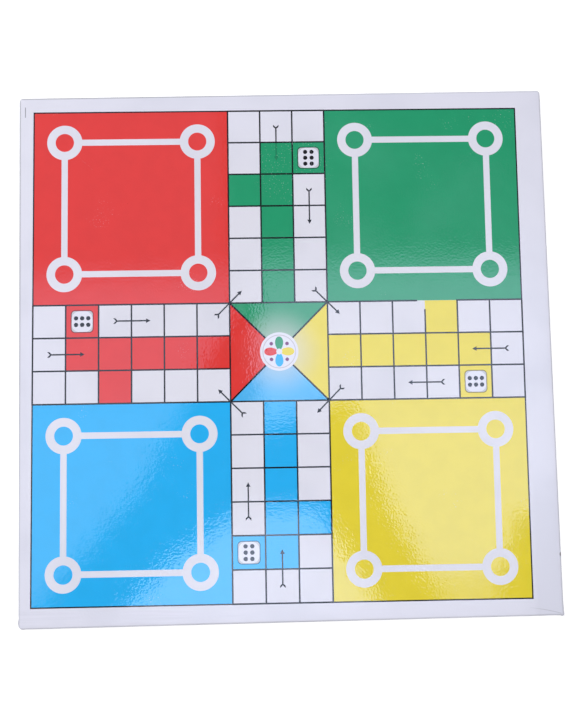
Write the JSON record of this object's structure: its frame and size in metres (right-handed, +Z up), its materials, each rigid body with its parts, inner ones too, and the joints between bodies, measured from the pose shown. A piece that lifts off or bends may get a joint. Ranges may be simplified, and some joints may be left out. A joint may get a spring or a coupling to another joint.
{
  "type": "ludo and snakes and ladders board",
  "caption": "Flat rigid wrapped game board: printed paper under gloss film over a pasteboard core, with a ludo track on the front and snakes and ladders on the back.",
  "frame": {"origin": "centre of the face the board rests on, which is the gloss film of the snakes and ladders side", "axes": "+Z up out of the ludo side, +X along the board's width with the green yard at +X +Y, +Y towards the red and green yards"},
  "size_m": [0.35, 0.348, 0.0029],
  "materials": {
    "greyboard": "matte",
    "paste": "satin",
    "ludo_print": "gloss",
    "snakes_print": "gloss",
    "gloss_film": "gloss"
  },
  "bodies": {
    "root": {"core_board": "greyboard", "face_paste": "paste", "ludo_sheet": "ludo_print", "ludo_film": "gloss_film", "back_paste": "paste", "snakes_sheet": "snakes_print", "snakes_film": "gloss_film"}
  },
  "joints": []
}
